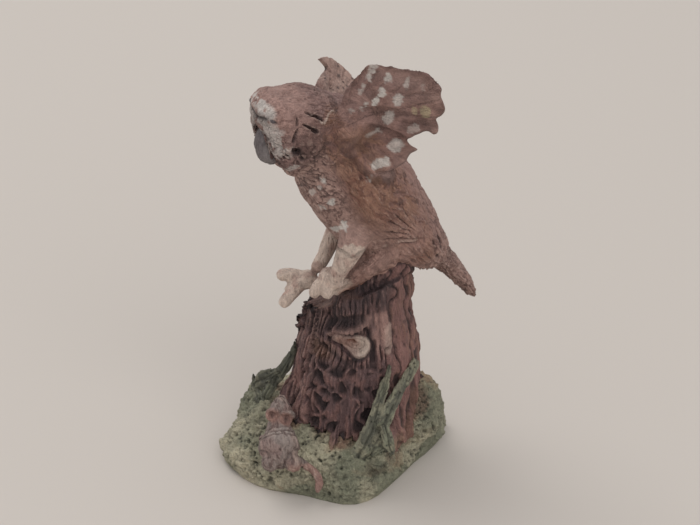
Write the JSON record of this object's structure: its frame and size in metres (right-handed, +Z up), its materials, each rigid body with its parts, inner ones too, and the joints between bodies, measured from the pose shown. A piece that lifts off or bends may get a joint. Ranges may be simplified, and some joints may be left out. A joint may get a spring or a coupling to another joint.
{
  "type": "painted clay miniature owl",
  "caption": "Miniature tawny owl with raised wings, standing on a weathered tree stump; the mossy mound below it carries leaf blades and a small mouse.",
  "frame": {"origin": "on the floor, under the middle of the outline seen from above", "axes": "+Z up; the owl faces -Y, and its left side is towards +X"},
  "size_m": [0.0196, 0.022, 0.0406],
  "materials": {
    "owl": "matt brown paint with pale spots",
    "beak": "satin dark grey paint",
    "eye": "gloss black paint",
    "feet": "matt cream paint",
    "bark": "matt dark brown paint",
    "knot": "matt beige paint",
    "moss": "matt mossy green paint",
    "leaf": "matt dark green paint",
    "mouse": "matt grey paint"
  },
  "bodies": {
    "root": {"ground": "moss", "leaf_drooping": "leaf", "leaf_left": "leaf", "leaf_slender": "leaf", "leaf_spike": "leaf", "leaf_tall": "leaf", "mouse": "mouse", "owl_beak": "beak", "owl_eye_left": "eye", "owl_eye_right": "eye", "owl_foot_left": "feet", "owl_foot_right": "feet", "owl_head": "owl", "owl_leg_left": "feet", "owl_leg_right": "feet", "owl_neck": "owl", "owl_tail": "owl", "owl_trunk": "owl", "owl_wing_left": "owl", "owl_wing_right": "owl", "stump": "bark", "stump_knot": "knot", "stump_nub": "bark"}
  },
  "joints": []
}
